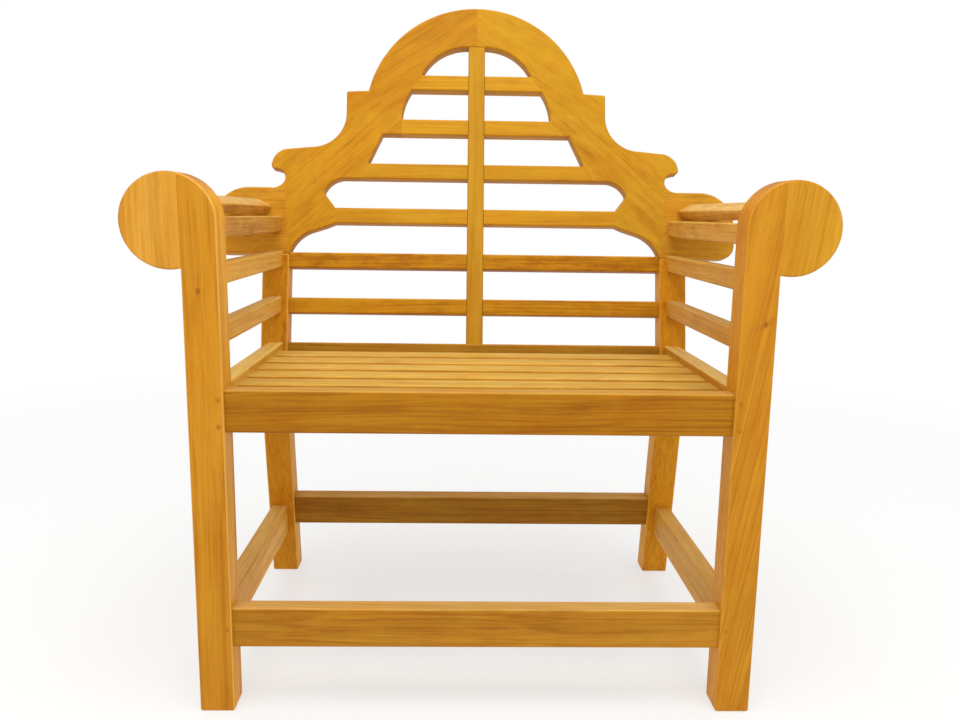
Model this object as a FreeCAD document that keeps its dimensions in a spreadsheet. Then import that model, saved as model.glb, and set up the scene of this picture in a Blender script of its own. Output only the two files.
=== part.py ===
"""Garden armchair in teak: front legs that end in roundels, a splayed and raked
pair of back legs, a shaped slatted back, rolled arms of slats and a slatted seat.

Millimetres, +Z up, +X to the right seen from the front, +Y towards the back.
The origin is the middle of the footprint, on the ground.  Lengths along y are
measured from the front face of the front legs, and at() moves them to the origin.
The shaped back is drawn in its own plane: x across, and s up the rake from the
bend of the back legs.
"""
import FreeCAD, Part
import math
import os

import Sketcher

Vector = FreeCAD.Vector
Rotation = FreeCAD.Rotation
Placement = FreeCAD.Placement

SIZES = {
    # front legs and their roundels
    "leg_span": 762,                # over the outer faces of the legs
    "leg_width": 47,
    "leg_depth": 45,
    "roundel_radius": 61,
    "roundel_height": 668.5,
    # edges
    "arris": 3,
    "corner_out": 3.5,
    "corner_in": 1,
    # seat rails
    "rail_tall": 57,
    "rail_thick": 28,
    "front_recess": 6,              # front rails behind the face of the legs
    "seat_rail_top": 452,
    "side_rail_middle": 355.5,
    "back_rail_top": 65,            # up the rake
    "back_rail_recess": 3,
    # stretchers
    "stretcher_tall": 56,
    "front_stretcher_middle": 120.5,
    "side_stretcher_middle": 110,
    "side_stretcher_across": 362,
    "back_stretcher_middle": 125,
    # back legs
    "bend_y": 409,
    "bend_z": 389.5,
    "rake": 12.45,                  # degrees from upright, above the bend
    "splay": 9.35,                  # degrees from upright, below the bend
    "back_leg_low": 44,             # front to back, below the bend
    "back_leg_high": 40,            # and above it
    "back_leg_top": 224,            # up the rake
    # shaped back
    "back_setback": 7.5,            # behind the front face of the back legs
    "board_thick": 25,
    "crest_middle": 480,
    "crest_outer": 201.5,
    "arch_rise": 512.5,             # middle of the upper arc of the inner arch
    "arch_round": 96.5,
    "haunch_middle": 472,           # middle of its lower arc, which is at x 35
    "haunch_round": 100,
    "muntin_width": 30,
    "back_slat_tall": 28.5,
    "back_slat_first": 117.5,       # lower edge of the lowest slat
    "back_slat_pitch": 82,
    # seat
    "seat_slat_width": 47,
    "seat_slat_thick": 18,
    "seat_slat_pitch": 63,
    "seat_slat_first": 61,          # middle of the front slat
    "seat_slat_top": 441,
    "bearer": 28,
    # arms
    "arm_slat_thick": 24,
    "arm_slat_across": 358,
    "roll_slat_wide": 30,
    "roll_slat_thick": 17,
    "roll_inner_tall": 28.5,
    "roll_inner_across": 359,
    "roll_inner_middle": 659.75,
    "roll_across": 408,             # middle of the two upper slats
    "roll_spread": 26.5,
    "roll_top": 698.5,
    "roll_tilt": 27,
    # joints
    "tenon_thick": 10,
    "tenon_shoulder": 4,
    "rail_tenon": 30,
    "side_tenon": 16,
    "slat_tenon": 12,
    "stub_tenon": 8,
    "peg_radius": 3.5,
    "peg_long": 28,
    "dowel_radius": 4,
    "dowel_long": 36,
}

doc = FreeCAD.newDocument("GardenArmchair")
sheet = doc.addObject("Spreadsheet::Sheet", "Sizes")
for row, (alias, number) in enumerate(SIZES.items(), start=1):
    cell = "A%d" % row
    sheet.set(cell, str(number))
    sheet.setAlias(cell, alias)
doc.recompute()

size = type("Size", (), SIZES)

OUTER = size.leg_span / 2
INNER = OUTER - size.leg_width
RAKE = math.radians(size.rake)
SPLAY = math.radians(size.splay)
UP_RAKE = Vector(0, math.sin(RAKE), math.cos(RAKE))
THROUGH_RAKE = Vector(0, math.cos(RAKE), -math.sin(RAKE))
UP_SPLAY = Vector(0, -math.sin(SPLAY), math.cos(SPLAY))
THROUGH_SPLAY = Vector(0, math.cos(SPLAY), math.sin(SPLAY))
BEND = Vector(0, size.bend_y, size.bend_z)
ACROSS = Vector(1, 0, 0)
DEEP = Vector(0, 1, 0)
SIDES = (("left", -1), ("right", 1))

board_middle = size.back_setback + size.board_thick / 2
DEPTH = (size.bend_y + (size.crest_middle + size.crest_outer) * UP_RAKE.y
         + (size.back_setback + size.board_thick) * THROUGH_RAKE.y)
CLEAR_SPAN = "Sizes.leg_span - 2 * Sizes.leg_width"


# ---------------------------------------------------------------- placing

def at(x, y, z, rotation=None):
    """Placement of a point whose y is measured from the front of the legs."""
    return Placement(Vector(x, y - DEPTH / 2, z), rotation or Rotation())


def on_rake(x, s, behind):
    """A point s up the rake and `behind` the front face of the back legs."""
    point = BEND + UP_RAKE * s + THROUGH_RAKE * behind
    return at(x, point.y, point.z, Rotation(ACROSS, -size.rake))


def on_splay(x, z, behind):
    """A point behind the splayed front face of the back legs, whose foot on
    that face is at height z."""
    down = (z - size.bend_z) / UP_SPLAY.z
    point = BEND + UP_SPLAY * down + THROUGH_SPLAY * behind
    return at(x, point.y, point.z, Rotation(ACROSS, size.splay))


def leg_front(z):
    """y of the front face of the back legs at height z."""
    if z >= size.bend_z:
        return size.bend_y + (z - size.bend_z) * math.tan(RAKE)
    return size.bend_y + (size.bend_z - z) * math.tan(SPLAY)


# ---------------------------------------------------------------- outlines

def polar(x, y, radius, degrees):
    angle = math.radians(degrees)
    return (x + radius * math.cos(angle), y + radius * math.sin(angle))


def straight(points):
    """Outline steps through the points and back to the first one."""
    return points[0], [(point,) for point in points[1:] + points[:1]]


def mirrored(start, steps):
    flipped = [tuple((-x, y) for x, y in step) for step in steps]
    return (-start[0], start[1]), flipped


def draw(sketch, start, steps):
    """Draw a closed outline.  A step of one point is a line to it, and a step of
    two points is an arc through the first to the second."""
    here = Vector(start[0], start[1], 0)
    for step in steps:
        there = Vector(step[-1][0], step[-1][1], 0)
        if len(step) == 1:
            sketch.addGeometry(Part.LineSegment(here, there))
        else:
            through = Vector(step[0][0], step[0][1], 0)
            sketch.addGeometry(Part.Arc(here, through, there))
        here = there


def padded(name, role, outline, thick, placement, midplane=False, away=False):
    """A body of one outline on an origin plane, padded to `thick`."""
    body = doc.addObject("PartDesign::Body", name)
    sketch = body.newObject("Sketcher::SketchObject", name + "_outline")
    plane = [f for f in body.Origin.OriginFeatures if f.Role == role][0]
    sketch.AttachmentSupport = [(plane, "")]
    sketch.MapMode = "FlatFace"
    draw(sketch, *outline)
    pad = body.newObject("PartDesign::Pad", name + "_pad")
    pad.Profile = sketch
    pad.setExpression("Length", thick)
    pad.Midplane = midplane
    pad.Reversed = away
    body.Placement = placement
    return body


def padded_back(name, outline, thick="Sizes.board_thick", behind=size.back_setback):
    """A body drawn in the plane of the back, padded towards the rear."""
    placement = on_rake(0, 0, behind)
    placement.Rotation = Rotation(ACROSS, 90 - size.rake)
    return padded(name, "XY_Plane", outline, thick, placement, away=True)


# ---------------------------------------------------------------- solids

def box(name, across, deep, tall, placement):
    """A box centred on a placement.  Its sizes are expressions."""
    solid = doc.addObject("Part::Box", name)
    solid.setExpression("Length", across)
    solid.setExpression("Width", deep)
    solid.setExpression("Height", tall)
    doc.recompute()
    corner = Vector(solid.Length.Value, solid.Width.Value, solid.Height.Value) * -0.5
    solid.Placement = placement * Placement(corner, Rotation())
    return solid


def cut(name, base, *tools):
    for number, tool in enumerate(tools, start=1):
        step = doc.addObject("Part::Cut", "%s_cut_%d" % (name, number))
        step.Base = base
        step.Tool = tool
        base = step
    return base


def common(name, base, tool):
    shared = doc.addObject("Part::Common", name)
    shared.Base = base
    shared.Tool = tool
    return shared


def fuse(name, *shapes):
    joined = doc.addObject("Part::MultiFuse", name)
    joined.Shapes = list(shapes)
    return joined


def group(name, shapes):
    """Separate solids held as one object."""
    held = doc.addObject("Part::Compound", name)
    held.Links = list(shapes)
    return held


def fillet(name, base, choose):
    """Round the edges of `base` that get a radius from choose(edge, shape)."""
    doc.recompute()
    chosen = []
    for index, edge in enumerate(base.Shape.Edges, start=1):
        radius = choose(edge, base.Shape)
        if radius:
            chosen.append((index, radius, radius))
    rounded = doc.addObject("Part::Fillet", name)
    rounded.Base = base
    rounded.Edges = chosen
    return rounded


def direction(edge):
    """The unit direction of a straight edge, or None."""
    if not isinstance(edge.Curve, Part.Line):
        return None
    ends = [vertex.Point for vertex in edge.Vertexes]
    return (ends[1] - ends[0]).normalize()


def runs_along(edge, axis):
    run = direction(edge)
    return run is not None and abs(run.dot(axis)) > 0.99999


def soft_outline(name, body, axis, keep_sharp=lambda point: False):
    """Round a padded outline: first the corners of the outline, then the edges
    around its two faces, except where keep_sharp(point) holds."""

    def corner(edge, shape):
        middle = edge.CenterOfMass
        if not runs_along(edge, axis) or keep_sharp(middle):
            return 0
        normals = []
        for face in shape.ancestorsOfType(edge, Part.Face):
            u, v = face.Surface.parameter(middle)
            normals.append(face.normalAt(u, v))
        turn = math.degrees(normals[0].getAngle(normals[1]))
        if turn < 4:
            return 0
        probe = middle + (normals[0] - normals[1]).normalize() * 0.05
        inward = shape.isInside(probe, 1e-4, False)
        return size.corner_in if inward else size.corner_out

    def rim(edge, shape):
        start, end = edge.valueAt(edge.FirstParameter), edge.valueAt(edge.LastParameter)
        level = abs((end - start).dot(axis)) < 1e-4
        flat = abs(edge.tangentAt(edge.FirstParameter).dot(axis)) < 1e-4
        if level and flat and not keep_sharp(edge.CenterOfMass):
            return size.arris
        return 0

    return fillet(name + "_rims", fillet(name + "_corners", body, corner), rim)


def soft_bar(name, across, deep, tall, placement, along=ACROSS):
    """A box with its four long edges rounded."""
    bar = box(name + "_bar", across, deep, tall, placement)
    axis = placement.Rotation.multVec(along)

    def long_edge(edge, shape):
        return size.arris if runs_along(edge, axis) else 0

    return fillet(name + "_soft", bar, long_edge)


def pin(name, radius, long, start, towards):
    """A round peg or dowel from a point along a direction."""
    body = doc.addObject("Part::Cylinder", name)
    body.setExpression("Radius", radius)
    body.setExpression("Height", long)
    body.Placement = Placement(start, Rotation(Vector(0, 0, 1), towards))
    return body


PIECES = []


def finish(label, solid):
    solid.Label = label
    PIECES.append(solid)
    return solid


# ---------------------------------------------------------------- front posts

centre_x = INNER + size.roundel_radius
glue_drop = math.sqrt(size.roundel_radius ** 2 - (OUTER - centre_x) ** 2)
front_outline = (
    (INNER, 0),
    [
        ((OUTER, 0),),
        ((OUTER, size.roundel_height - glue_drop),),
        ((centre_x + size.roundel_radius, size.roundel_height),
         (centre_x, size.roundel_height + size.roundel_radius)),
        (polar(centre_x, size.roundel_height, size.roundel_radius, 135),
         (INNER, size.roundel_height)),
        ((INNER, 0),),
    ],
)

front_post = {}
roundel_side = {}
for side, sign in SIDES:
    outline = front_outline if sign > 0 else mirrored(*front_outline)
    body = padded("front_post_" + side, "XZ_Plane", outline, "Sizes.leg_depth",
                  at(0, 0, 0), away=True)
    front_post[side] = soft_outline("front_post_" + side, body, DEEP)
    roundel_side[side] = box(
        "roundel_side_" + side, "2 * Sizes.roundel_radius", "2 * Sizes.leg_depth",
        "2.2 * Sizes.roundel_radius",
        at(sign * (OUTER + size.roundel_radius), size.leg_depth / 2, size.roundel_height))


# ---------------------------------------------------------------- back posts

heel = leg_front(0)
low_run = size.back_leg_low / math.cos(SPLAY)
high = BEND + THROUGH_RAKE * size.back_leg_high
knee_up = ((heel + low_run - high.y - high.z * math.tan(SPLAY))
           / (UP_RAKE.y + UP_RAKE.z * math.tan(SPLAY)))
knee = high + UP_RAKE * knee_up
top_front = BEND + UP_RAKE * size.back_leg_top
top_back = top_front + THROUGH_RAKE * size.back_leg_high
back_outline = straight([
    (heel, 0),
    (heel + low_run, 0),
    (knee.y, knee.z),
    (top_back.y, top_back.z),
    (top_front.y, top_front.z),
    (BEND.y, BEND.z),
])

back_post = {}
for side, sign in SIDES:
    body = padded("back_post_" + side, "YZ_Plane", back_outline, "Sizes.leg_width",
                  at(sign * (OUTER - size.leg_width / 2), 0, 0), midplane=True)
    back_post[side] = soft_outline("back_post_" + side, body, ACROSS)


# ---------------------------------------------------------------- rails and stretchers

def cross_rail(name, tall, placement, tenon_shift=0):
    """A rail between two legs, with a tenon into each."""
    tenon_at = placement * Placement(Vector(0, tenon_shift, 0), Rotation())
    bar = soft_bar(name, CLEAR_SPAN, "Sizes.rail_thick", tall, placement)
    tenon = box(name + "_tenon", CLEAR_SPAN + " + 2 * Sizes.rail_tenon",
                "Sizes.tenon_thick", tall + " - 2 * Sizes.tenon_shoulder", tenon_at)
    return fuse(name + "_tenoned", bar, tenon)


def depth_bar(name, x, z, tall, half_tall, post):
    """A bar from a front leg to a back leg, trimmed to the slope of the back leg,
    with a tenon into each."""
    front = size.leg_depth
    reach = max(leg_front(z - half_tall), leg_front(z + half_tall)) + 2
    bar = soft_bar(name, "Sizes.rail_thick", "%f" % (reach - front), tall,
                   at(x, (front + reach) / 2, z), DEEP)
    near = front - size.side_tenon
    tenon_half = half_tall - size.tenon_shoulder
    far = min(leg_front(z - tenon_half), leg_front(z + tenon_half)) + size.side_tenon
    tenon = box(name + "_tenon", "Sizes.tenon_thick", "%f" % (far - near),
                tall + " - 2 * Sizes.tenon_shoulder", at(x, (near + far) / 2, z))
    return fuse(name + "_tenoned", cut(name + "_trim", bar, post), tenon)


front_middle = size.front_recess + size.rail_thick / 2
back_middle = size.back_rail_recess + size.rail_thick / 2
rail_z = size.seat_rail_top - size.rail_tall / 2

front_rail = cross_rail("front_seat_rail", "Sizes.rail_tall", at(0, front_middle, rail_z))
back_rail = cross_rail(
    "back_seat_rail", "Sizes.rail_tall",
    on_rake(0, size.back_rail_top - size.rail_tall / 2, back_middle), tenon_shift=6)
front_stretcher = cross_rail("front_stretcher", "Sizes.stretcher_tall",
                             at(0, front_middle, size.front_stretcher_middle))
back_stretcher = cross_rail("back_stretcher", "Sizes.stretcher_tall",
                            on_splay(0, size.back_stretcher_middle, 20), tenon_shift=3)

side_rail = {}
side_stretcher = {}
for side, sign in SIDES:
    side_rail[side] = depth_bar(
        "side_seat_rail_" + side, sign * size.side_rail_middle, rail_z,
        "Sizes.rail_tall", size.rail_tall / 2, back_post[side])
    side_stretcher[side] = depth_bar(
        "side_stretcher_" + side, sign * size.side_stretcher_across,
        size.side_stretcher_middle, "Sizes.stretcher_tall", size.stretcher_tall / 2,
        back_post[side])


# ---------------------------------------------------------------- shaped back

def slat_low(number):
    """Lower edge of back slat `number`, counted from 1 at the bottom."""
    return size.back_slat_first + (number - 1) * size.back_slat_pitch


def slat_high(number):
    return slat_low(number) + size.back_slat_tall


def crest_point(degrees):
    return polar(0, size.crest_middle, size.crest_outer, degrees)


muntin_half = size.muntin_width / 2
arch_top = size.arch_rise + size.arch_round


def arch_point(degrees):
    return polar(muntin_half, size.arch_rise, size.arch_round, degrees)


def haunch_point(degrees):
    return polar(35, size.haunch_middle, size.haunch_round, degrees)


STUB = 22
# where each slat meets the shaped boards: x at its lower edge and at its upper edge
SHOULDERS = {
    1: (INNER, INNER),
    2: (INNER, INNER),
    3: (254, 254),
    4: (209, 195.3),
    5: (135.5, 135),
    6: (118.2, 99.1),
}
TENON_ENDS = {
    1: INNER + size.slat_tenon,
    2: INNER + size.slat_tenon,
    3: 266,
    4: 215,
    5: 147,
    6: 133,
}


def stub(number):
    """Outline steps round the stump of a slat, from its lower edge to its upper."""
    low_x, high_x = SHOULDERS[number]
    end = min(low_x, high_x) - STUB
    return [
        ((low_x, slat_low(number)),),
        ((end, slat_low(number)),),
        ((end, slat_high(number)),),
        ((high_x, slat_high(number)),),
    ]


crest_shoulder = size.crest_outer ** 2 - (526 - size.crest_middle) ** 2
half_back = (
    (0, size.crest_middle + size.crest_outer),
    [
        # crest
        (crest_point(55), (math.sqrt(crest_shoulder), 526)),
        ((236, 524),),
        ((236, 484),),
        # side board
        (polar(299, 484, 63, 225), (299, 421)),
        ((338, 417),),
        (polar(338, 385, 32, 45), (370, 385)),
        ((368, 381.5), (363, 380)),
        ((354, 377.5),),
        ((345, 366), (350, 353)),
        # ear
        ((358, 347.8), (372, 346)),
        ((410, 346),),
        (polar(410, 284, 62, 45), (472, 284)),
        ((472, 250),),
        (polar(446, 250, 26, -45), (446, 224)),
        ((INNER, 224),),
        # inner edge of the side board, upwards
        ((INNER, slat_high(2)),),
        ((318, 252.5), (290, 268.3)),
        ((268, 275.5),),
    ]
    + stub(3)
    + [
        ((270.5, 332),),
        ((273.5, 338), (271.5, 343)),
        ((259, 356.5), (238, slat_low(4))),
    ]
    + stub(4)
    + [
        ((170, slat_low(5)),),
    ]
    + stub(5)
    + [
        (haunch_point(17), (SHOULDERS[6][0], slat_low(6))),
    ]
    + stub(6)[1:]
    + [
        (arch_point(60), (muntin_half, arch_top)),
        ((0, arch_top),),
        ((0, size.crest_middle + size.crest_outer),),
    ]
)

crest_region = straight([(0, 502.6), (0, 700), (300, 700), (300, 473.9)])
ear_region = straight([(336.2, 210), (345.2, 364), (356, 364), (372, 362), (490, 362),
                       (490, 210)])


def stump(number):
    """Outline of the part of the back that belongs to a slat."""
    low_x, high_x = SHOULDERS[number]
    low, top = slat_low(number), slat_high(number)
    end = min(low_x, high_x) - STUB - 5
    slope = (high_x - low_x) / (top - low)
    return straight([(end, low - 6), (low_x - 6 * slope, low - 6), (high_x, top), (end, top)])


crest, board, ear = {}, {}, {}
for side, sign in SIDES:
    def handed(outline):
        return outline if sign > 0 else mirrored(*outline)

    def tool(name, outline):
        return padded_back(name + "_" + side, handed(outline), "3 * Sizes.board_thick",
                           size.back_setback - size.board_thick)

    body = padded_back("half_back_" + side, handed(half_back))
    half = soft_outline("half_back_" + side, body, THROUGH_RAKE,
                        lambda point: abs(point.x) < 0.01)
    half = cut("half_back_" + side, half,
               group("stumps_" + side, [tool("stump_%d" % n, stump(n)) for n in (3, 4, 5, 6)]))
    crest_tool = tool("crest_region", crest_region)
    ear_tool = tool("ear_region", ear_region)
    crest[side] = common("crest_blank_" + side, half, crest_tool)
    ear[side] = common("ear_blank_" + side, half, ear_tool)
    board[side] = cut("board_blank_" + side, half, crest_tool, ear_tool)


# ---------------------------------------------------------------- back slats and muntin

def back_box(name, across, deep, tall, x, s, behind):
    return box(name, across, deep, tall, on_rake(x, s, behind))


def slat_outline(number):
    low_x, high_x = SHOULDERS[number]
    low, top = slat_low(number), slat_high(number)
    return straight([(-low_x, low), (low_x, low), (high_x, top), (-high_x, top)])


def across_edge(edge, shape):
    return size.arris if runs_along(edge, ACROSS) else 0


def up_edge(edge, shape):
    return size.arris if runs_along(edge, UP_RAKE) else 0


half_thick = "Sizes.board_thick / 2"
front_half = board_middle - size.board_thick / 4
rear_half = board_middle + size.board_thick / 4

back_slat = {}
slat_laps = []
for number in SHOULDERS:
    name = "back_slat_%d" % number
    middle = (slat_low(number) + slat_high(number)) / 2
    bar = fillet(name + "_soft", padded_back(name + "_bar", slat_outline(number)), across_edge)
    tenon = back_box(name + "_tenon", "%f" % (2 * TENON_ENDS[number]), "Sizes.tenon_thick",
                     "Sizes.back_slat_tall - 2 * Sizes.tenon_shoulder", 0, middle,
                     board_middle)
    lap = back_box(name + "_lap", "Sizes.muntin_width", half_thick,
                   "2 * Sizes.back_slat_tall", 0, middle, front_half)
    back_slat[number] = cut(name + "_lapped", fuse(name + "_tenoned", bar, tenon), lap)
    slat_laps.append(back_box(name + "_rear", "2 * Sizes.muntin_width", half_thick,
                              "Sizes.back_slat_tall", 0, middle, rear_half))

muntin_outline = straight([(-muntin_half, size.back_rail_top),
                           (muntin_half, size.back_rail_top),
                           (muntin_half, arch_top), (-muntin_half, arch_top)])
muntin_long = arch_top - size.back_rail_top
muntin_bar = fillet("muntin_soft", padded_back("muntin_bar", muntin_outline), up_edge)
muntin_tenon = back_box("muntin_tenon", "Sizes.muntin_width - 2 * Sizes.tenon_shoulder",
                        "Sizes.tenon_thick", "%f" % (muntin_long + 2 * size.slat_tenon), 0,
                        size.back_rail_top + muntin_long / 2, board_middle)
muntin = cut("muntin", fuse("muntin_tenoned", muntin_bar, muntin_tenon),
             group("muntin_laps", slat_laps))


# ---------------------------------------------------------------- seat

bearer_top = size.seat_slat_top - size.seat_slat_thick
bearer_z = bearer_top - size.bearer / 2
bearer_front = size.front_recess + size.rail_thick
bearer_back = leg_front(bearer_top) + size.back_rail_recess + 6
bearer_bar = soft_bar("bearer", "Sizes.bearer", "%f" % (bearer_back - bearer_front),
                      "Sizes.bearer", at(0, (bearer_front + bearer_back) / 2, bearer_z), DEEP)
bearer_far = leg_front(bearer_z) + size.back_rail_recess + size.stub_tenon
bearer_near = bearer_front - size.stub_tenon
bearer_tenon = box("bearer_tenon", "Sizes.tenon_thick", "%f" % (bearer_far - bearer_near),
                   "Sizes.bearer - 2 * Sizes.tenon_shoulder",
                   at(0, (bearer_near + bearer_far) / 2, bearer_z))
bearer = fuse("bearer_tenoned", cut("bearer_trim", bearer_bar, back_rail), bearer_tenon)

seat_slat = []
for number in range(6):
    name = "seat_slat_%d" % (number + 1)
    y = size.seat_slat_first + number * size.seat_slat_pitch
    spot = at(0, y, size.seat_slat_top - size.seat_slat_thick / 2)
    clear = "2 * Sizes.side_rail_middle - Sizes.rail_thick"
    bar = soft_bar(name, clear, "Sizes.seat_slat_width", "Sizes.seat_slat_thick", spot)
    tenon = box(name + "_tenon", clear + " + 2 * Sizes.stub_tenon",
                "Sizes.seat_slat_width - 2 * Sizes.tenon_shoulder", "Sizes.tenon_thick", spot)
    slat = fuse(name + "_tenoned", bar, tenon)
    if number == 0:
        slat = cut(name + "_notched", slat, group("front_posts", front_post.values()))
    seat_slat.append(slat)


# ---------------------------------------------------------------- arms

arm_lower, arm_upper, roll_inner, roll_upper, roll_outer = {}, {}, {}, {}, {}
for side, sign in SIDES:
    levels = ((1, arm_lower, "arm_slat_lower_"), (2, arm_upper, "arm_slat_upper_"))
    for number, store, word in levels:
        middle = (slat_low(number) + slat_high(number)) / 2
        z = size.bend_z + middle * UP_RAKE.z
        name = word + side
        front = size.leg_depth
        half_tall = size.back_slat_tall / 2
        reach = leg_front(z + half_tall) + 2 * size.back_setback
        bar = soft_bar(name, "Sizes.arm_slat_thick", "%f" % (reach - front),
                       "Sizes.back_slat_tall",
                       at(sign * size.arm_slat_across, (front + reach) / 2, z), DEEP)
        near = front - size.slat_tenon
        far = leg_front(z - half_tall) + size.slat_tenon
        tenon = box(name + "_tenon", "Sizes.tenon_thick", "%f" % (far - near),
                    "Sizes.back_slat_tall - 2 * Sizes.tenon_shoulder",
                    at(sign * size.arm_slat_across, (near + far) / 2, z))
        store[side] = fuse(name + "_tenoned",
                           cut(name + "_trim", bar, back_post[side], ear[side]), tenon)

    across = size.roll_across
    thin = size.roll_slat_thick / 2
    tilt = math.radians(size.roll_tilt)
    rolls = (
        (roll_inner, "inner", size.roll_inner_across, size.roll_inner_middle, 0,
         "Sizes.roll_slat_thick", "Sizes.roll_inner_tall"),
        (roll_upper, "upper_inner", across - size.roll_spread + thin * math.sin(tilt),
         size.roll_top - thin * math.cos(tilt), -size.roll_tilt,
         "Sizes.roll_slat_wide", "Sizes.roll_slat_thick"),
        (roll_outer, "upper_outer", across + size.roll_spread - thin * math.sin(tilt),
         size.roll_top - thin * math.cos(tilt), size.roll_tilt,
         "Sizes.roll_slat_wide", "Sizes.roll_slat_thick"),
    )
    for store, word, x, z, turn, wide, tall in rolls:
        name = "arm_roll_slat_%s_%s" % (word, side)
        spin = Rotation(DEEP, sign * turn)
        front = size.leg_depth
        face = leg_front(z) + size.back_setback / math.cos(RAKE)
        reach = face + 8
        bar = soft_bar(name, wide, "%f" % (reach - front), tall,
                       at(sign * x, (front + reach) / 2, z, spin), DEEP)
        near = front - size.slat_tenon
        far = face + size.slat_tenon
        tenon = box(name + "_tenon", wide + " - 2 * Sizes.tenon_shoulder",
                    "%f" % (far - near), tall + " - 2 * Sizes.tenon_shoulder",
                    at(sign * x, (near + far) / 2, z, spin))
        store[side] = fuse(name + "_tenoned", cut(name + "_trim", bar, ear[side]), tenon)


# ---------------------------------------------------------------- pegs and dowels

peg_inset = 7
front_pegs, side_pegs, rear_pegs, dowels = [], [], [], []


def peg(store, word, start, towards):
    name = "peg_%s_%d" % (word, len(store) + 1)
    store.append(pin(name, "Sizes.peg_radius", "Sizes.peg_long", start, towards))


def dowel(centre, towards):
    name = "dowel_%d" % (len(dowels) + 1)
    start = centre - towards * (size.dowel_long / 2)
    dowels.append(pin(name, "Sizes.dowel_radius", "Sizes.dowel_long", start, towards))


for side, sign in SIDES:
    x = sign * (INNER + peg_inset)
    outside = sign * OUTER
    for z in (440, 404, size.front_stretcher_middle):
        peg(front_pegs, "front", at(x, 0, z).Base, DEEP)
    for y, z in ((37, 440), (37, 404), (37, size.side_stretcher_middle),
                 (leg_front(412) + 6.5, 412), (leg_front(100) + 5.5, 100)):
        peg(side_pegs, "side", at(outside, y, z).Base, ACROSS * -sign)
    for s in (20, 52):
        peg(rear_pegs, "rear", on_rake(x, s, size.back_leg_high).Base, THROUGH_RAKE * -1)
    peg(rear_pegs, "rear", on_splay(x, size.back_stretcher_middle, size.back_leg_low).Base,
        THROUGH_SPLAY * -1)

    for leg_x in (354, 372):
        dowel(on_rake(sign * leg_x, size.back_leg_top, board_middle).Base, UP_RAKE)
    for s in (258, 330):
        dowel(on_rake(sign * 340, s, board_middle).Base, ACROSS)
    for crest_x, s in ((160, 487), (205, 483)):
        dowel(on_rake(sign * crest_x, s, board_middle).Base, UP_RAKE)
    for z in (650, 688):
        dowel(at(outside, size.leg_depth / 2, z).Base, ACROSS)
for s in (638, 662):
    dowel(on_rake(0, s, board_middle).Base, ACROSS)

pegs_front = group("front_pegs", front_pegs)
pegs_side = group("side_pegs", side_pegs)
pegs_rear = group("rear_pegs", rear_pegs)
all_dowels = group("all_dowels", dowels)


# ---------------------------------------------------------------- joints cut, pieces named

for side, sign in SIDES:
    front_tools = group("front_joints_" + side, [
        front_rail, front_stretcher, side_rail[side], side_stretcher[side],
        arm_lower[side], arm_upper[side], roll_inner[side], roll_upper[side],
        roll_outer[side]])
    leg = cut("front_leg_" + side, front_post[side], roundel_side[side], front_tools,
              pegs_front, pegs_side, all_dowels)
    finish("front_leg_" + side, leg)
    block = common("roundel_blank_" + side, front_post[side], roundel_side[side])
    finish("arm_roundel_" + side,
           cut("arm_roundel_" + side, block, front_tools, all_dowels))

    back_tools = group("back_joints_" + side, [
        back_rail, back_stretcher, side_rail[side], side_stretcher[side],
        arm_lower[side], arm_upper[side], back_slat[1], back_slat[2]])
    leg = cut("back_leg_" + side, back_post[side], back_tools, pegs_side, pegs_rear,
              all_dowels)
    finish("back_leg_" + side, leg)

    seat_tools = group("seat_joints_" + side, seat_slat)
    finish("side_seat_rail_" + side,
           cut("side_rail_" + side, side_rail[side], seat_tools, pegs_side))
    finish("side_stretcher_" + side,
           cut("side_bar_" + side, side_stretcher[side], pegs_side))

    finish("arm_slat_lower_" + side, arm_lower[side])
    finish("arm_slat_upper_" + side, arm_upper[side])
    finish("arm_roll_slat_inner_" + side, roll_inner[side])
    finish("arm_roll_slat_upper_inner_" + side, roll_upper[side])
    finish("arm_roll_slat_upper_outer_" + side, roll_outer[side])

    board_tools = group("board_joints_" + side, [back_slat[n] for n in (3, 4, 5)])
    crest_tools = group("crest_joints_" + side, [back_slat[6], muntin])
    ear_tools = group("ear_joints_" + side, [
        roll_inner[side], roll_upper[side], roll_outer[side]])
    finish("back_side_board_" + side,
           cut("back_board_" + side, board[side], board_tools, all_dowels))
    finish("crest_" + side, cut("crest_half_" + side, crest[side], crest_tools, all_dowels))
    finish("back_ear_" + side, cut("ear_piece_" + side, ear[side], ear_tools, all_dowels))

finish("front_seat_rail", cut("front_rail_piece", front_rail, bearer, pegs_front))
finish("back_seat_rail",
       cut("back_rail_piece", back_rail, group("back_rail_joints", [bearer, muntin]),
           pegs_rear))
finish("front_stretcher", cut("front_bar_piece", front_stretcher, pegs_front))
finish("back_stretcher", cut("back_bar_piece", back_stretcher, pegs_rear))
finish("seat_bearer", bearer)
for number, slat in enumerate(seat_slat, start=1):
    finish("seat_slat_%d" % number, slat)
for number, slat in back_slat.items():
    finish("back_slat_%d" % number, slat)
finish("back_muntin", muntin)
finish("pegs_front", pegs_front)
finish("pegs_sides", pegs_side)
finish("pegs_back", pegs_rear)
finish("joint_dowels", all_dowels)


# ---------------------------------------------------------------- check and write

doc.recompute()
for thing in doc.Objects:
    if "Invalid" in thing.State or "Error" in thing.State:
        raise RuntimeError("%s did not recompute: %s" % (thing.Name, thing.State))
for piece in PIECES:
    shape = piece.Shape
    if shape.isNull() or not shape.isValid() or not shape.Solids:
        raise RuntimeError("%s has no valid solid" % piece.Label)

os.makedirs("parts", exist_ok=True)
for piece in PIECES:
    piece.Shape.exportStep("parts/%s.step" % piece.Label)
print("%d pieces written" % len(PIECES))
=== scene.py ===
"""Looks for the teak garden armchair: procedural teak on every CAD piece, a pale
floor, soft studio light and the camera."""

import math
import random
from collections import namedtuple

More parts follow.
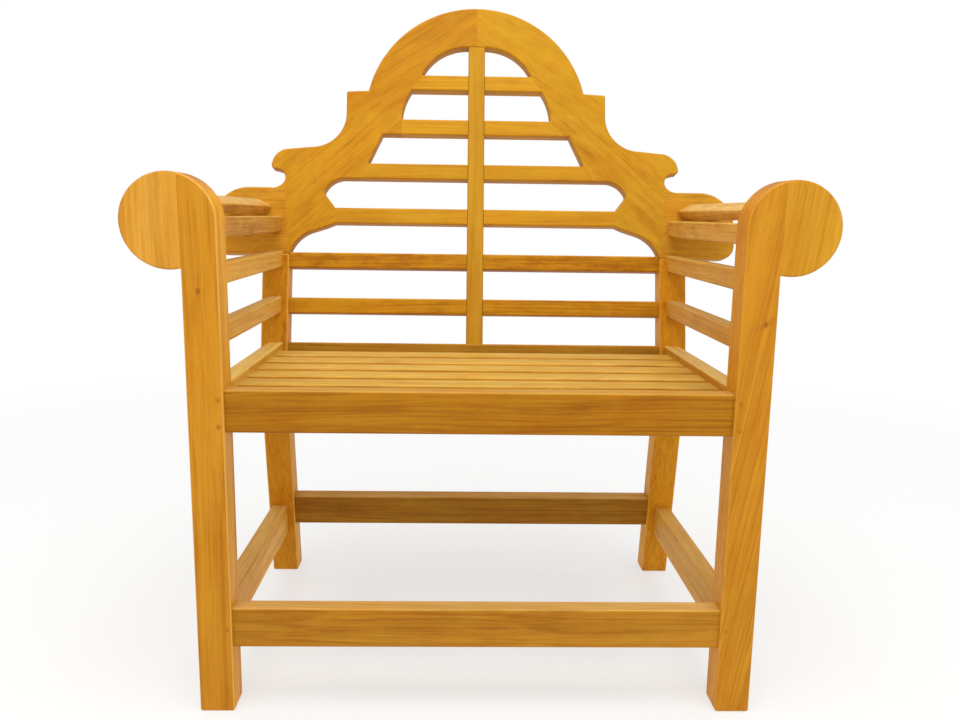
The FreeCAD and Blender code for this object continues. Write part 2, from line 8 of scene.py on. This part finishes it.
import bpy
from mathutils import Matrix, Vector


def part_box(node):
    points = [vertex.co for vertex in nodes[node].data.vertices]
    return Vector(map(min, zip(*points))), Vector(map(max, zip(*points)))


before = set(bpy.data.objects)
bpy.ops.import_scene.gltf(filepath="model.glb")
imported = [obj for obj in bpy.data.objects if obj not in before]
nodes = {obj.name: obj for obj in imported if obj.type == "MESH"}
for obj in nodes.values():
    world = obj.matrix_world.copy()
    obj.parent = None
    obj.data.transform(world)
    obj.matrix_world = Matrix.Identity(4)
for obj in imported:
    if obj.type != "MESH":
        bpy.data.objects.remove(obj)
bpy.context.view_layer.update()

UP = Vector((0, 0, 1))
ACROSS = Vector((1, 0, 0))
DEEP = Vector((0, 1, 0))
RAKE = math.radians(12.45)             # how far the back leans from upright
UP_RAKE = Vector((0, math.sin(RAKE), math.cos(RAKE)))
LEG_SLANT = math.radians(9)            # grain of the right front leg, off its length


# ---------------------------------------------------------------- node trees

class Graph:
    """Short calls for building a node tree."""

    def __init__(self, tree):
        self.tree = tree

    def node(self, kind, inputs=None, **settings):
        made = self.tree.nodes.new(kind)
        for key, value in settings.items():
            setattr(made, key, value)
        for key, value in (inputs or {}).items():
            self.feed(made.inputs[key], value)
        return made

    def feed(self, socket, value):
        if isinstance(value, bpy.types.NodeSocket):
            self.tree.links.new(value, socket)
        else:
            socket.default_value = value

    def math(self, operation, a, b=0.0, clamp=False):
        made = self.node("ShaderNodeMath", operation=operation, use_clamp=clamp)
        self.feed(made.inputs[0], a)
        self.feed(made.inputs[1], b)
        return made.outputs[0]

    def weighted(self, value, weight):
        return self.math("MULTIPLY", value, weight)

    def vector(self, operation, a, b):
        made = self.node("ShaderNodeVectorMath", operation=operation)
        self.feed(made.inputs[0], a)
        self.feed(made.inputs[1], b)
        return made.outputs[0]

    def length(self, vector):
        made = self.node("ShaderNodeVectorMath", operation="LENGTH")
        self.feed(made.inputs[0], vector)
        return made.outputs["Value"]

    def dot(self, a, b):
        made = self.node("ShaderNodeVectorMath", operation="DOT_PRODUCT")
        self.feed(made.inputs[0], a)
        self.feed(made.inputs[1], b)
        return made.outputs["Value"]

    def noise(self, point, across, along, detail=2.0, rough=0.5, output="Fac"):
        """Noise with so many features to the metre across z, and so many along it."""
        scaled = self.vector("MULTIPLY", point, (across, across, along))
        made = self.node("ShaderNodeTexNoise", {"Vector": scaled, "Scale": 1.0,
                                                "Detail": detail, "Roughness": rough})
        return made.outputs[output]

    def noise_1d(self, place, scale, detail=0.0):
        made = self.node("ShaderNodeTexNoise", noise_dimensions="1D")
        self.feed(made.inputs["W"], place)
        self.feed(made.inputs["Scale"], scale)
        self.feed(made.inputs["Detail"], detail)
        return made.outputs["Fac"]

    def remap(self, value, low, high, to_low=0.0, to_high=1.0):
        made = self.node("ShaderNodeMapRange", clamp=True)
        self.feed(made.inputs["Value"], value)
        self.feed(made.inputs["From Min"], low)
        self.feed(made.inputs["From Max"], high)
        self.feed(made.inputs["To Min"], to_low)
        self.feed(made.inputs["To Max"], to_high)
        return made.outputs[0]

    def mix(self, amount, a, b, blend="MIX"):
        made = self.node("ShaderNodeMix", data_type="RGBA", blend_type=blend,
                         clamp_factor=True)
        self.feed(made.inputs[0], amount)
        self.feed(made.inputs[6], a)
        self.feed(made.inputs[7], b)
        return made.outputs[2]

    def tinted(self, colour, tint):
        return self.mix(1.0, colour, tint + (1.0,), "MULTIPLY")


def linear(red, green, blue):
    """A colour picked as screen values, as Blender's linear light."""
    def one(value):
        value /= 255
        return value / 12.92 if value <= 0.04045 else ((value + 0.055) / 1.055) ** 2.4
    return (one(red), one(green), one(blue), 1.0)


# ---------------------------------------------------------------- teak as a solid

REDDISH = (1.0, 0.86, 0.62, 1.0)
STRAW = (1.02, 1.06, 1.30)
MINERAL = linear(140, 80, 26)
SAWN_END = linear(150, 88, 34)


def wobble(g, point, across, along, amount):
    """A sideways shift of the grain, up to about half of `amount` metres either way."""
    colour = g.noise(point, across, along, output="Color")
    centred = g.vector("SUBTRACT", colour, (0.5, 0.5, 0.5))
    return g.vector("MULTIPLY", centred, (amount, amount, 0.0))


def growth_rings(g, point):
    """Rings round the pith, of uneven width, each with its own depth of colour."""
    rings_per_metre = 150.0
    distance = g.length(g.vector("MULTIPLY", point, (1.0, 1.0, 0.0)))
    unevenness = g.weighted(g.noise_1d(distance, 55.0, 1.0), 2.2)
    phase = g.math("ADD", g.weighted(distance, rings_per_metre), unevenness)
    inside = g.math("FRACT", phase)
    ring = g.math("FLOOR", phase)
    depth = g.remap(g.noise_1d(ring, 3.7), 0.3, 0.7, 0.25, 1.0)
    late_wood = g.math("MULTIPLY", g.remap(inside, 0.35, 0.93), g.remap(inside, 1.0, 0.93))
    return g.math("MULTIPLY", late_wood, depth)


def teak_tone(g, point, bent, bands, rings, fibres, pits, streak, mottle):
    """How dark the wood is, from 0 to 1: straight figure, blotches and pores."""
    veins = g.noise(bent, 240.0, 3.0, 2.0, 0.6)
    clouds = g.noise(point, 7.0, 2.5)
    blotch = g.noise(bent, 52.0, 22.0, 4.0, 0.66)
    flecks = g.noise(bent, 480.0, 42.0, 2.0, 0.6)
    tone = g.weighted(g.remap(bands, 0.30, 0.72), 0.42)
    tone = g.math("ADD", tone, g.weighted(rings, 0.40))
    tone = g.math("ADD", tone, g.weighted(g.remap(fibres, 0.32, 0.68, -1.0), 0.22))
    tone = g.math("ADD", tone, g.weighted(g.remap(veins, 0.52, 0.66), 0.34))
    tone = g.math("ADD", tone, g.weighted(g.remap(clouds, 0.3, 0.7, -1.0), 0.20))
    blotches = g.math("ADD", g.weighted(g.remap(blotch, 0.32, 0.68, -1.0), 0.44),
                      g.weighted(g.remap(flecks, 0.54, 0.70), 0.34))
    tone = g.math("ADD", tone, g.math("MULTIPLY", blotches, mottle))
    return g.math("ADD", g.math("MULTIPLY", tone, streak), g.weighted(pits, 0.14),
                  clamp=True)


def teak_colour(g, point, bent, tone, inputs):
    """The tone as a colour, with patches, dark mineral lines and darker sawn ends."""
    colour = g.mix(tone, inputs["Light"], inputs["Deep"])
    patches = g.noise(point, 22.0, 6.0, 3.0, 0.6)
    colour = g.mix(g.remap(patches, 0.50, 0.72, 0.0, 0.8), colour, REDDISH, "MULTIPLY")
    colour = g.mix(g.remap(patches, 0.50, 0.28, 0.0, 0.9), colour, g.tinted(colour, STRAW))
    lines = g.noise(bent, 170.0, 5.0)
    dark = g.weighted(g.remap(lines, 0.66, 0.78), 0.45)
    colour = g.mix(g.math("MULTIPLY", dark, inputs["Streak"]), colour, MINERAL)
    end = g.math("POWER", inputs["End"], 3.0, clamp=True)
    return g.mix(g.weighted(end, 0.55), colour, SAWN_END)


def build_teak_group():
    """Teak as a solid: growth rings round a pith along z, long fibres, pores and
    slow changes of colour.  Vector is in metres with the grain along z."""
    tree = bpy.data.node_groups.new("TeakSolid", "ShaderNodeTree")
    for name, kind in (("Vector", "NodeSocketVector"), ("End", "NodeSocketFloat"),
                       ("Light", "NodeSocketColor"), ("Deep", "NodeSocketColor"),
                       ("Streak", "NodeSocketFloat"), ("Mottle", "NodeSocketFloat")):
        tree.interface.new_socket(name, in_out="INPUT", socket_type=kind)
    for name, kind in (("Color", "NodeSocketColor"), ("Roughness", "NodeSocketFloat"),
                       ("Height", "NodeSocketFloat")):
        tree.interface.new_socket(name, in_out="OUTPUT", socket_type=kind)
    g = Graph(tree)
    inputs = g.node("NodeGroupInput").outputs
    sink = g.node("NodeGroupOutput").inputs

    # the grain wanders slowly, with a small ripple, and the rings with it
    point = inputs["Vector"]
    drift = wobble(g, point, 5.0, 1.3, 0.035)
    ripple = wobble(g, point, 28.0, 5.0, 0.004)
    bent = g.vector("ADD", g.vector("ADD", point, drift), ripple)

    rings = growth_rings(g, bent)
    bands = g.noise(bent, 70.0, 2.2, 3.0, 0.55)
    fibres = g.noise(bent, 420.0, 7.0, 3.0, 0.6)
    pits = g.remap(g.noise(bent, 1300.0, 60.0, 1.0), 0.60, 0.74)
    tone = teak_tone(g, point, bent, bands, rings, fibres, pits, inputs["Streak"],
                     inputs["Mottle"])
    g.feed(sink["Color"], teak_colour(g, point, bent, tone, inputs))

    gloss = g.math("ADD", g.weighted(fibres, 0.6), g.weighted(bands, 0.4))
    g.feed(sink["Roughness"], g.remap(gloss, 0.3, 0.7, 0.46, 0.62))
    height = g.math("SUBTRACT", g.weighted(fibres, 0.5), pits)
    g.feed(sink["Height"], g.math("SUBTRACT", height, g.weighted(rings, 0.25)))
    return tree


TEAK = build_teak_group()


# ---------------------------------------------------------------- legs and knots

LEG_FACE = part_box("front_leg_left")[0][1]
# colour of the painted highlight on the leg arrises
ARRIS_HIGHLIGHT = linear(236, 188, 104)
KNOT = linear(132, 72, 20)
KNOT_STREAK = linear(160, 84, 16)

# painted light on each leg: how much paler its side faces are painted, and how strong the
# painted highlight on its front arrises is
FLANK_LIGHT = {
    "front_leg_left": ((1.40, 1.58, 2.0), 0.40),
    "front_leg_right": ((1.22, 1.22, 0.9), 0.12),
    "back_leg_left": ((1.35, 1.55, 2.0), 0.40),
    "back_leg_right": ((1.25, 1.35, 1.3), 0.12),
}
# x, z and radius of a knot, then the slope, half length and half width of its streak
KNOTS = {
    "front_leg_left": (-0.360, 0.581, 0.0042, 1.50, 0.030, 0.005),
    "front_leg_right": (0.366, 0.546, 0.0036, 0.52, 0.034, 0.006),
}


def add_flank_light(g, facing, colour, paler, highlight_amount):
    """Painted light on a leg: paler side faces, and a painted highlight on its rounded front
    arrises.
    """
    side = g.math("ABSOLUTE", facing["X"])
    colour = g.mix(g.remap(side, 0.5, 0.9), colour, g.tinted(colour, paler))
    front = g.math("ABSOLUTE", facing["Y"])
    arris_highlight = g.math("MULTIPLY", g.remap(front, 0.15, 0.45), g.remap(front, 0.97, 0.80))
    return g.mix(g.weighted(arris_highlight, highlight_amount), colour, ARRIS_HIGHLIGHT)


def add_knot(g, place, colour, x, z, radius, slope, long, wide):
    """A small brown knot on the front face of a leg, on a brown streak."""
    offset = g.vector("SUBTRACT", place, (x, LEG_FACE, z))
    spot = g.length(g.vector("MULTIPLY", offset, (1.0, 0.4, 0.75)))
    turned = g.node("ShaderNodeMapping", {"Vector": offset, "Rotation": (0, slope, 0)})
    streak = g.length(g.vector("MULTIPLY", turned.outputs["Vector"],
                               (1 / long, 8.0, 1 / wide)))
    colour = g.mix(g.remap(streak, 1.0, 0.1, 0.0, 0.40), colour, KNOT_STREAK)
    return g.mix(g.remap(spot, radius, radius * 0.3, 0.0, 0.75), colour, KNOT)


# ---------------------------------------------------------------- one board

# tint of the painted shade on faces that look down
UNDERSIDE_SHADE = (0.90, 0.86, 0.28)
OILED_SHEEN = (1.0, 0.80, 0.34, 1.0)


def teak(name, grain, centre, seed, sides, tops, streak, mottle):
    """Teak for one piece: its own board, cut with the grain along `grain`.  `sides` are
    the light and deep colours of upright faces, `tops` those of faces that look up,
    painted paler as light from above; faces that look down get painted shade."""
    rng = random.Random(seed)
    to_z = grain.normalized().rotation_difference(UP)
    swing = rng.uniform(0, 2 * math.pi)
    away = rng.uniform(0.07, 0.16)
    pith = Vector((away * math.cos(swing), away * math.sin(swing), rng.uniform(-9, 9)))

    material = bpy.data.materials.new("Teak_" + name)
    material.use_nodes = True
    g = Graph(material.node_tree)
    place = g.node("ShaderNodeTexCoord").outputs["Object"]
    board = g.node("ShaderNodeMapping", {"Vector": place,
                                         "Location": pith - to_z.to_matrix() @ centre,
                                         "Rotation": to_z.to_euler("XYZ")})
    normal = g.node("ShaderNodeNewGeometry").outputs["Normal"]
    facing = g.node("ShaderNodeSeparateXYZ", {"Vector": normal}).outputs
    # painted light: faces that look up take paler colours, standing in for light from above
    up = g.remap(facing["Z"], 0.35, 0.85)
    # mask of the painted shade on faces that look down
    underside_shade_mask = g.remap(facing["Z"], -0.35, -0.85)
    wood = g.node("ShaderNodeGroup", node_tree=TEAK)
    for key, value in (("Vector", board.outputs["Vector"]),
                       ("End", g.math("ABSOLUTE", g.dot(normal, grain.normalized()))),
                       ("Light", g.mix(up, sides[0], tops[0])),
                       ("Deep", g.mix(up, sides[1], tops[1])),
                       ("Streak", streak), ("Mottle", mottle)):
        g.feed(wood.inputs[key], value)

    colour = wood.outputs["Color"]
    # painted shade on faces that look down
    colour = g.mix(underside_shade_mask, colour, g.tinted(colour, UNDERSIDE_SHADE))
    # painted light on the leg flanks and a painted highlight on their arrises
    if name in FLANK_LIGHT:
        colour = add_flank_light(g, facing, colour, *FLANK_LIGHT[name])
    if name in KNOTS:
        colour = add_knot(g, place, colour, *KNOTS[name])
    bump = g.node("ShaderNodeBump", {"Strength": 0.35, "Distance": 0.0004,
                                     "Height": wood.outputs["Height"]})
    shader = material.node_tree.nodes["Principled BSDF"]
    g.feed(shader.inputs["Base Color"], colour)
    g.feed(shader.inputs["Roughness"], wood.outputs["Roughness"])
    g.feed(shader.inputs["Normal"], bump.outputs["Normal"])
    shader.inputs["Specular IOR Level"].default_value = 0.30
    shader.inputs["Specular Tint"].default_value = OILED_SHEEN
    return material


# ---------------------------------------------------------------- grain and tone of each piece

def diagonal(sign, degrees):
    """A direction in the plane of the back, turned from +X towards up the rake."""
    angle = math.radians(degrees)
    return ACROSS * (sign * math.cos(angle)) + UP_RAKE * math.sin(angle)


def grain_of(name):
    """The direction of the grain, along the length of each piece."""
    sign = -1 if name.endswith("left") else 1
    if name.startswith("crest"):
        return diagonal(sign, -33)
    if name.startswith("back_side_board"):
        return diagonal(sign, -42)
    if name.startswith(("back_slat", "back_seat", "back_stretcher", "front_s", "seat_slat",
                        "back_ear")):
        return ACROSS
    if name.startswith("back_muntin"):
        return UP_RAKE
    if name in ("front_leg_right", "arm_roundel_right"):
        return Vector((math.sin(LEG_SLANT), 0, math.cos(LEG_SLANT)))
    if name.startswith(("front_leg", "back_leg", "arm_roundel", "pegs", "joint_dowels")):
        return UP
    return DEEP


def even(tone):
    return (tone, tone, tone)


# light and deep colours of oiled teak, of a paler board whose paleness is partly painted light
# on the faces it is used for, and of an upper face painted paler as light from above
WARM = ((0.64, 0.280, 0.022), (0.43, 0.148, 0.007))
PALE = ((0.68, 0.345, 0.070), (0.47, 0.195, 0.026))
PAINTED_TOP_LIGHT = ((0.70, 0.410, 0.100), (0.53, 0.280, 0.055))

# by the first letters of the name: colours and tone of the upright faces, colours and
# tone of the faces that look up, strength of the straight figure and of the mottle.
# The tones are partly each board's own and partly painted light and shade: darker low
# down, under the seat and low in the back, paler on inner faces lit from the side.
# The first row that fits is the one used.
Board = namedtuple("Board", "prefix sides tone tops top_tone figure mottle")
BOARDS = [Board(*row) for row in (
    ("front_leg", WARM, (0.87, 0.85, 0.60), WARM, even(0.9), 1.0, 0.25),
    ("arm_roundel_left", WARM, (1.02, 1.14, 1.8), WARM, even(1.0), 0.9, 0.2),
    ("arm_roundel_right", WARM, (0.95, 1.04, 0.80), WARM, even(1.0), 0.9, 0.2),
    ("crest_left", WARM, (0.80, 0.77, 0.24), WARM, even(0.9), 0.6, 1.0),
    ("crest_right", WARM, (0.80, 0.88, 0.32), WARM, even(0.9), 0.6, 1.0),
    ("back_side_board_left", WARM, (0.83, 0.86, 0.36), WARM, even(0.9), 0.7, 1.1),
    ("back_side_board", WARM, (0.81, 0.92, 0.50), WARM, even(0.9), 0.7, 1.1),
    ("back_ear_left", WARM, (0.88, 0.90, 0.70), PAINTED_TOP_LIGHT, (0.9, 0.9, 0.8), 0.8, 1.0),
    ("back_ear", WARM, (0.87, 0.95, 0.70), PAINTED_TOP_LIGHT, even(0.9), 0.8, 0.8),
    ("back_muntin", WARM, (0.78, 0.88, 0.60), WARM, even(0.9), 0.7, 0.3),
    # the lowest back slats darker: painted shade between the seat and the arms
    ("back_slat_1", WARM, (0.80, 0.82, 0.26), WARM, even(0.9), 1.2, 0.7),
    ("back_slat_2", WARM, (0.78, 0.76, 0.24), WARM, even(0.9), 1.2, 1.1),
    ("back_slat", WARM, (0.86, 0.95, 0.50), WARM, even(0.9), 0.8, 0.4),
    ("back_leg_left", WARM, (0.90, 0.84, 0.30), WARM, even(1.0), 1.0, 0.6),
    ("back_leg", WARM, (0.95, 0.92, 0.36), WARM, even(1.0), 1.0, 0.6),
    # back seat rail and back stretcher darker: painted shade under the seat
    ("back_seat_rail", WARM, (0.58, 0.60, 0.42), WARM, even(0.8), 1.2, 0.4),
    ("back_stretcher", WARM, (0.52, 0.52, 0.36), PAINTED_TOP_LIGHT, even(1.05), 1.3, 0.4),
    ("front_seat_rail", WARM, (0.65, 0.60, 0.24), PAINTED_TOP_LIGHT, (0.80, 0.72, 0.50), 1.3, 0.3),
    ("front_stretcher", WARM, (0.74, 0.74, 0.66), PAINTED_TOP_LIGHT, even(1.05), 1.2, 0.3),
    ("seat_slat", PALE, (0.84, 0.76, 0.34), PAINTED_TOP_LIGHT, (0.91, 0.93, 0.66), 1.5, 0.5),
    # left side pieces paler than the right: painted light on inner faces lit from the right
    ("side_stretcher_left", PALE, (1.26, 1.32, 0.90), PAINTED_TOP_LIGHT, even(1.05), 1.1, 0.5),
    ("side_stretcher", PALE, (1.00, 1.02, 0.66), PAINTED_TOP_LIGHT, (1.0, 0.95, 0.8), 1.1, 0.5),
    ("side_seat_rail_right", PALE, (0.86, 0.78, 0.30), PAINTED_TOP_LIGHT, (1.10, 1.20, 1.30), 1.1, 0.5),
    ("side", PALE, (1.15, 1.28, 0.90), PAINTED_TOP_LIGHT, (1.20, 1.36, 1.30), 1.1, 0.5),
    ("arm_roll", PALE, (0.98, 1.00, 0.76), PAINTED_TOP_LIGHT, even(0.95), 1.3, 0.8),
    ("arm_slat_lower_left", PALE, (1.14, 1.26, 0.82), PAINTED_TOP_LIGHT, even(0.95), 1.0, 0.4),
    ("arm_slat_upper_left", PALE, (1.14, 1.26, 0.82), PAINTED_TOP_LIGHT, even(0.95), 1.0, 0.4),
    ("arm", PALE, (0.98, 0.98, 0.62), PAINTED_TOP_LIGHT, even(0.95), 1.0, 0.4),
    ("pegs", WARM, (0.78, 0.68, 0.60), WARM, even(0.7), 1.0, 0.4),
    ("", WARM, even(0.9), WARM, even(0.9), 1.0, 0.4),
)]


def toned(colours, tone, factor):
    """Both colours of a board, times its tone and a small factor of its own."""
    tone = [part * factor for part in tone]
    return [tuple(value * part for value, part in zip(colour, tone)) + (1.0,)
            for colour in colours]


def dress(index, name):
    """Gives one CAD piece its own board of teak."""
    rng = random.Random(100 + index)
    board = next(row for row in BOARDS if name.startswith(row.prefix))
    low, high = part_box(name)
    factor = rng.uniform(0.97, 1.03)
    material = teak(name, grain_of(name), (low + high) / 2, 500 + index,
                    toned(board.sides, board.tone, factor),
                    toned(board.tops, board.top_tone, factor),
                    board.figure * rng.uniform(0.9, 1.1), board.mottle)
    slots = nodes[name].data.materials
    slots.clear()
    slots.append(material)


# ---------------------------------------------------------------- floor, light, camera

FLOOR_REACH = 40.0
FLOOR_FADE = (0.2, 2.6)                # metres from the middle of the chair
FLOOR_GLOW = (0.58, 1.0)               # share of plain white light at those distances
CAMERA_PLACE = (-0.0337, -1.3673, 0.6809)
YAW, PITCH, ROLL = -0.0211, -0.1727, -0.0135
LENS = 31.68
SHIFT = (0.0073, 0.0021)


def floor_material():
    """A pale floor that fades into the white backdrop away from the chair."""
    material = bpy.data.materials.new("PaleFloor")
    material.use_nodes = True
    g = Graph(material.node_tree)
    shader = material.node_tree.nodes["Principled BSDF"]
    shader.inputs["Base Color"].default_value = (0.86, 0.86, 0.85, 1)
    shader.inputs["Roughness"].default_value = 0.7
    shader.inputs["Specular IOR Level"].default_value = 0.2
    away = g.length(g.node("ShaderNodeTexCoord").outputs["Object"])
    glow = g.node("ShaderNodeEmission", {"Color": (1, 1, 1, 1), "Strength": 1.0})
    blend = g.node("ShaderNodeMixShader", {"Fac": g.remap(away, *FLOOR_FADE, *FLOOR_GLOW)})
    g.feed(blend.inputs[1], shader.outputs[0])
    g.feed(blend.inputs[2], glow.outputs[0])
    g.feed(material.node_tree.nodes["Material Output"].inputs["Surface"], blend.outputs[0])
    return material


def build_floor():
    steps = 96
    turns = [2 * math.pi * step / steps for step in range(steps)]
    rim = [(FLOOR_REACH * math.cos(turn), FLOOR_REACH * math.sin(turn), 0.0)
           for turn in turns]
    mesh = bpy.data.meshes.new("Floor")
    mesh.from_pydata(rim, [], [list(range(steps))])
    mesh.materials.append(floor_material())
    floor = bpy.data.objects.new("Floor", mesh)
    bpy.context.scene.collection.objects.link(floor)


def build_backdrop():
    """White where the camera sees it, and softer as a light on the chair."""
    world = bpy.data.worlds.new("Studio")
    world.use_nodes = True
    g = Graph(world.node_tree)
    seen = g.node("ShaderNodeLightPath").outputs["Is Camera Ray"]
    backdrop = world.node_tree.nodes["Background"]
    backdrop.inputs["Color"].default_value = (1, 1, 1, 1)
    g.feed(backdrop.inputs["Strength"], g.remap(seen, 0.0, 1.0, 0.62, 1.0))
    bpy.context.scene.world = world
    bpy.context.scene.view_settings.view_transform = "Standard"


def softbox(name, place, target, width, height, power, colour):
    data = bpy.data.lights.new(name, "AREA")
    data.shape = "RECTANGLE"
    data.size = width
    data.size_y = height
    data.energy = power
    data.color = colour
    lamp = bpy.data.objects.new(name, data)
    bpy.context.scene.collection.objects.link(lamp)
    lamp.location = place
    aim = Vector(target) - Vector(place)
    lamp.rotation_euler = aim.to_track_quat("-Z", "Y").to_euler()


def build_camera():
    turn = (Matrix.Rotation(YAW, 3, "Z") @ Matrix.Rotation(PITCH, 3, "X")
            @ Matrix.Rotation(ROLL, 3, "Y"))
    right, forward, up = turn.col[0], turn.col[1], turn.col[2]
    data = bpy.data.cameras.new("Camera")
    data.sensor_width = 36
    data.lens = LENS
    data.shift_x, data.shift_y = SHIFT
    camera = bpy.data.objects.new("Camera", data)
    bpy.context.scene.collection.objects.link(camera)
    axes = Matrix((right, up, -forward)).transposed().to_4x4()
    camera.matrix_world = Matrix.Translation(CAMERA_PLACE) @ axes
    bpy.context.scene.camera = camera


for index, name in enumerate(sorted(nodes)):
    dress(index, name)
build_floor()
build_backdrop()
softbox("Overhead", (0.0, -0.6, 2.9), (0, 0, 0.4), 2.8, 2.2, 64, (0.96, 1.0, 1.0))
softbox("Front", (0.1, -1.75, 0.95), (0, 0, 0.55), 3.6, 0.9, 12.5, (1.0, 0.90, 0.72))
build_camera()
